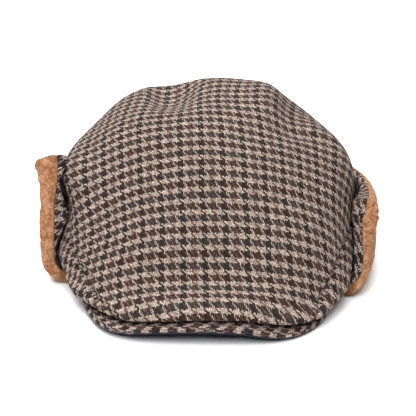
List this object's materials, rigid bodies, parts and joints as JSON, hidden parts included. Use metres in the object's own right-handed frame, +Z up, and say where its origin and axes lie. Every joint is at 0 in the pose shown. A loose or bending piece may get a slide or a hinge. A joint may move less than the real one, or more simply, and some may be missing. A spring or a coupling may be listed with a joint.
{
  "type": "flat cap",
  "caption": "Soft checked wool flat cap with a short stiffened peak and a fleece-lined ear and neck flap folded up around the crown.",
  "frame": {"origin": "on the floor under the middle of the cap's bounding box", "axes": "+Z up through the crown, -Y towards the peak, +X towards the wearer's left"},
  "size_m": [0.2367, 0.269, 0.1238],
  "materials": {
    "check_wool": "houndstooth wool tweed",
    "navy_cloth": "plain matt cotton",
    "camel_fleece": "short curly fleece"
  },
  "bodies": {
    "root": {"top_panel": "check_wool", "side_panel_right": "check_wool", "side_panel_left": "check_wool", "peak": "check_wool", "peak_underside": "navy_cloth", "flap_cloth": "check_wool", "flap_fleece": "camel_fleece"}
  },
  "joints": []
}
